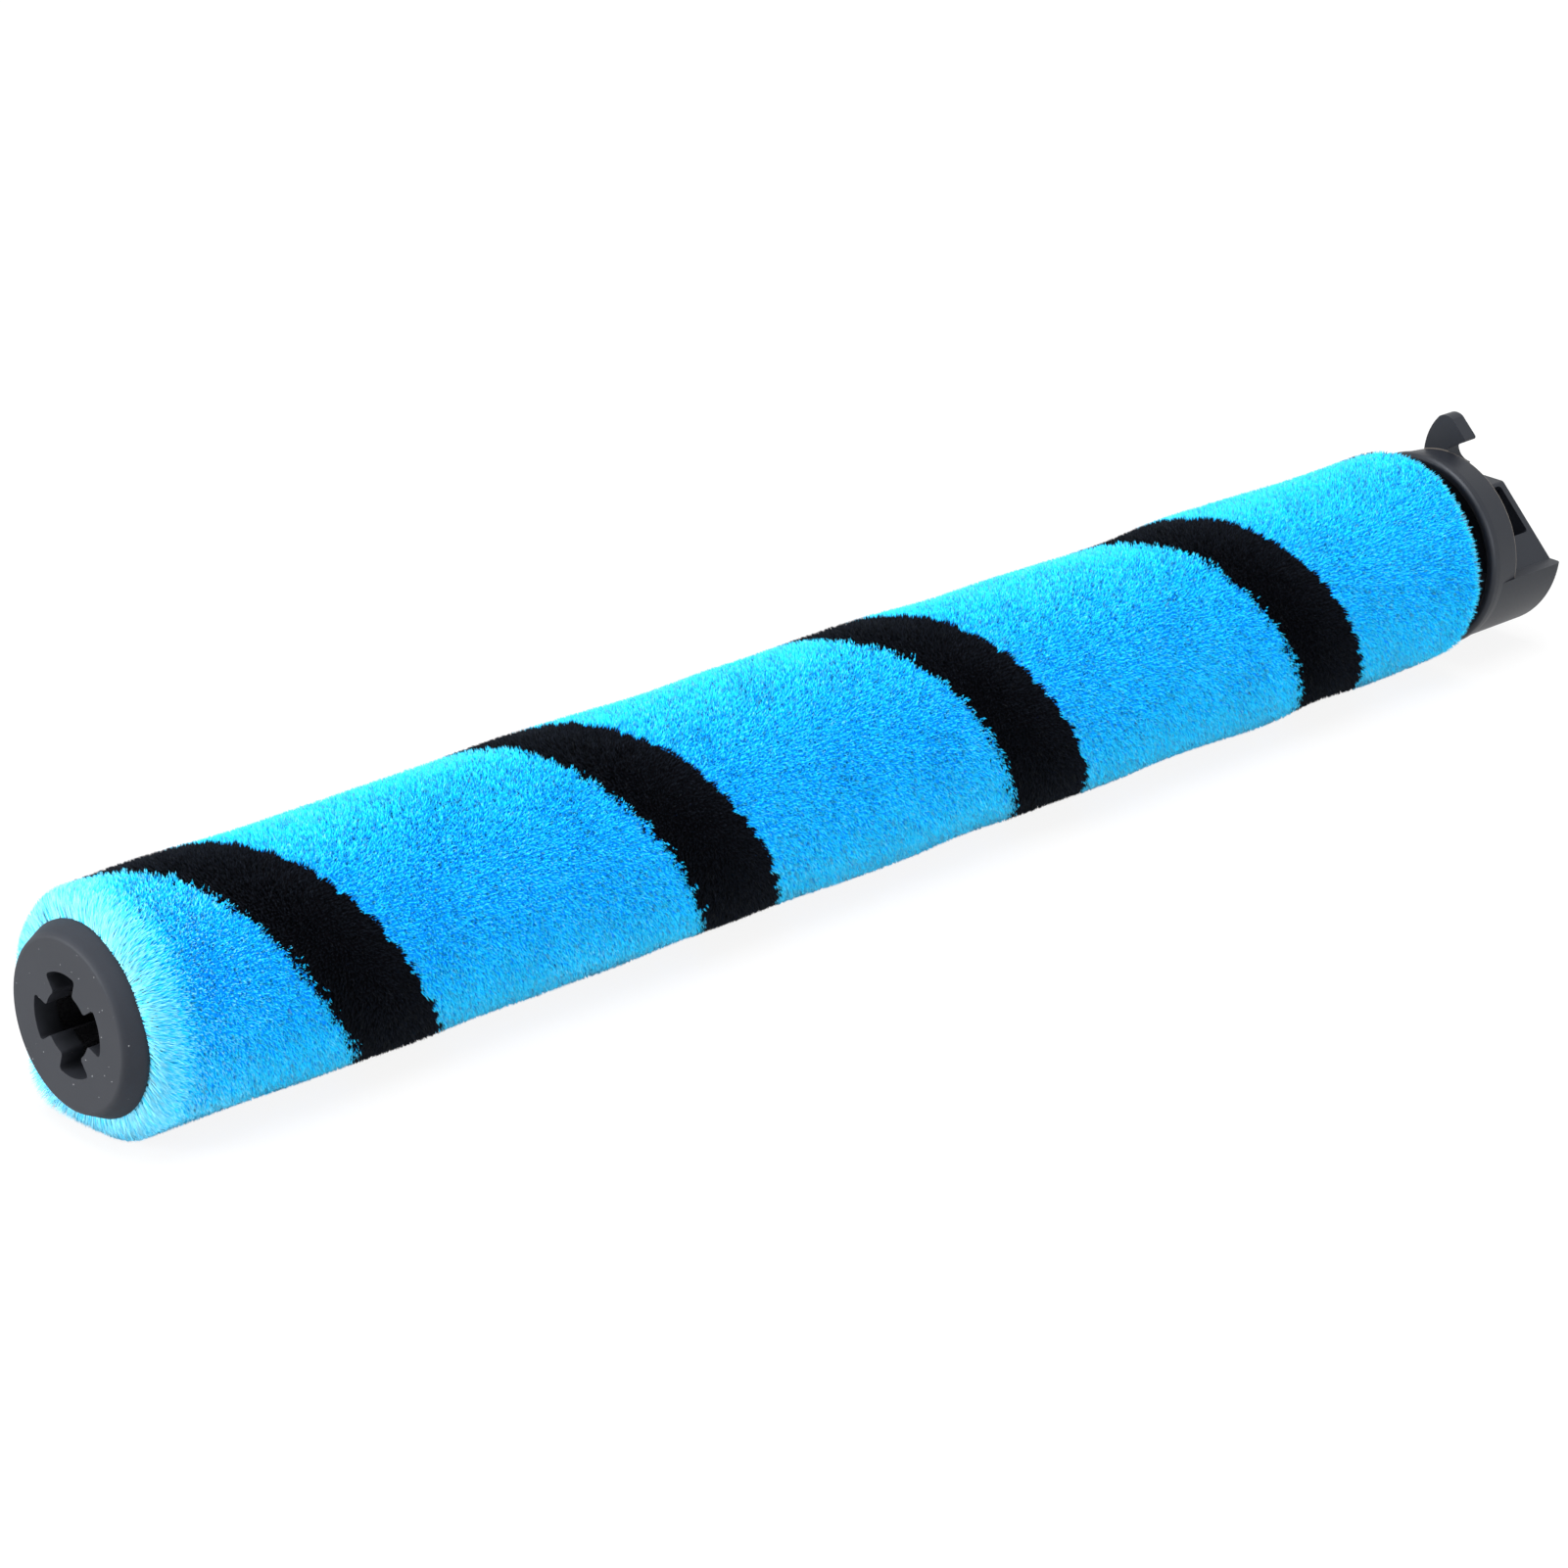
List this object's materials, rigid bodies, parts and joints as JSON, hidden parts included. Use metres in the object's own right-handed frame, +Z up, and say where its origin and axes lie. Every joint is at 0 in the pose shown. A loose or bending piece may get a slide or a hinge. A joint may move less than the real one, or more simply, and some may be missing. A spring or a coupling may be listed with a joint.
{
  "type": "vacuum soft roller brush",
  "caption": "Soft plush roller brush for a vacuum head, with a wound contrasting stripe, a keyed rubber drive socket at one end and a bearing end cap with a hook at the other.",
  "frame": {"origin": "on the roller's axis, at the face of the rubber drive flange, in the middle of the drive socket's mouth", "axes": "+X along the axis towards the end cap, +Z up towards the hook, -Y towards the side that the picture shows"},
  "size_m": [0.2795, 0.035, 0.0382],
  "materials": {
    "core_plastic": "extruded dark plastic tube, hidden under the plush",
    "blue_plush": "dense soft bright blue pile",
    "black_plush": "dense soft black pile",
    "hub_plastic": "smooth moulded black plastic",
    "flange_rubber": "matte dark grey rubber with fine dust on it",
    "plug_plastic": "moulded black plastic",
    "steel": "ground steel",
    "ball_steel": "polished steel",
    "cage_nylon": "moulded cream nylon",
    "white_nylon": "white nylon",
    "grey_felt": "pressed grey felt",
    "cap_plastic": "finely grained dark grey moulded plastic"
  },
  "bodies": {
    "roller": {"core_tube": "core_plastic", "blue_pile": "blue_plush", "black_pile": "black_plush", "drive_hub": "hub_plastic", "drive_flange": "flange_rubber", "idler_plug": "plug_plastic", "axle_pin": "steel", "thrust_washer": "white_nylon", "retaining_clip": "steel", "bearing_inner_race": "steel"},
    "cap": {"end_cap": "cap_plastic", "bearing_outer_race": "steel", "shield_roller_side": "steel", "shield_cap_side": "steel", "felt_seal": "grey_felt"},
    "ball_cage": {"bearing_cage": "cage_nylon", "bearing_balls": "ball_steel"}
  },
  "joints": [
    {"name": "cap_turn", "type": "hinge", "parent": "roller", "child": "cap", "pos_m": [0.2638, 0, 0], "axis": [1, 0, 0], "continuous": true},
    {"name": "cage_turn", "type": "hinge", "parent": "roller", "child": "ball_cage", "pos_m": [0.2638, 0, 0], "axis": [1, 0, 0], "continuous": true}
  ],
  "couplings": [
    {"joint": "cage_turn", "follows": "cap_turn", "ratio": 0.62526}
  ]
}
